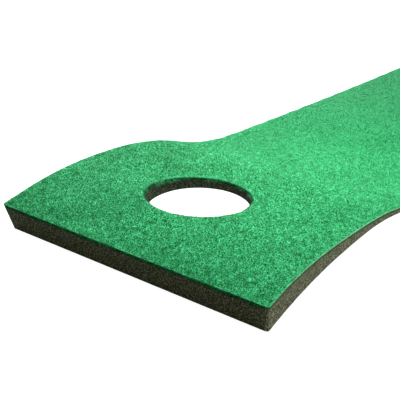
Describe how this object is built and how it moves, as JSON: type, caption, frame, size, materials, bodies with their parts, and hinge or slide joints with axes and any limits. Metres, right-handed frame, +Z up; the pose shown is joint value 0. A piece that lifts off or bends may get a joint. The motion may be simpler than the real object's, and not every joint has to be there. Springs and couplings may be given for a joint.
{
  "type": "practice putting mat",
  "caption": "Long practice putting mat: green needled felt glued over a dark foam base, thick at the bulged hole end, ramping down to a thin lane, with a round hole cut right through.",
  "frame": {"origin": "middle of the mat's bounding box, on its flat underside", "axes": "+X from the hole end along the lane, +Y towards the bulged edge beside the hole, +Z up through the felt"},
  "size_m": [1.829, 0.4226, 0.022],
  "materials": {
    "green_felt": "matt, short needled pile, mottled green",
    "dried_glue": "thin, dull, pale",
    "dark_foam": "matt closed-cell foam with fine specks"
  },
  "bodies": {
    "root": {"turf_felt": "green_felt", "glue_film": "dried_glue", "foam_base": "dark_foam"}
  },
  "joints": []
}
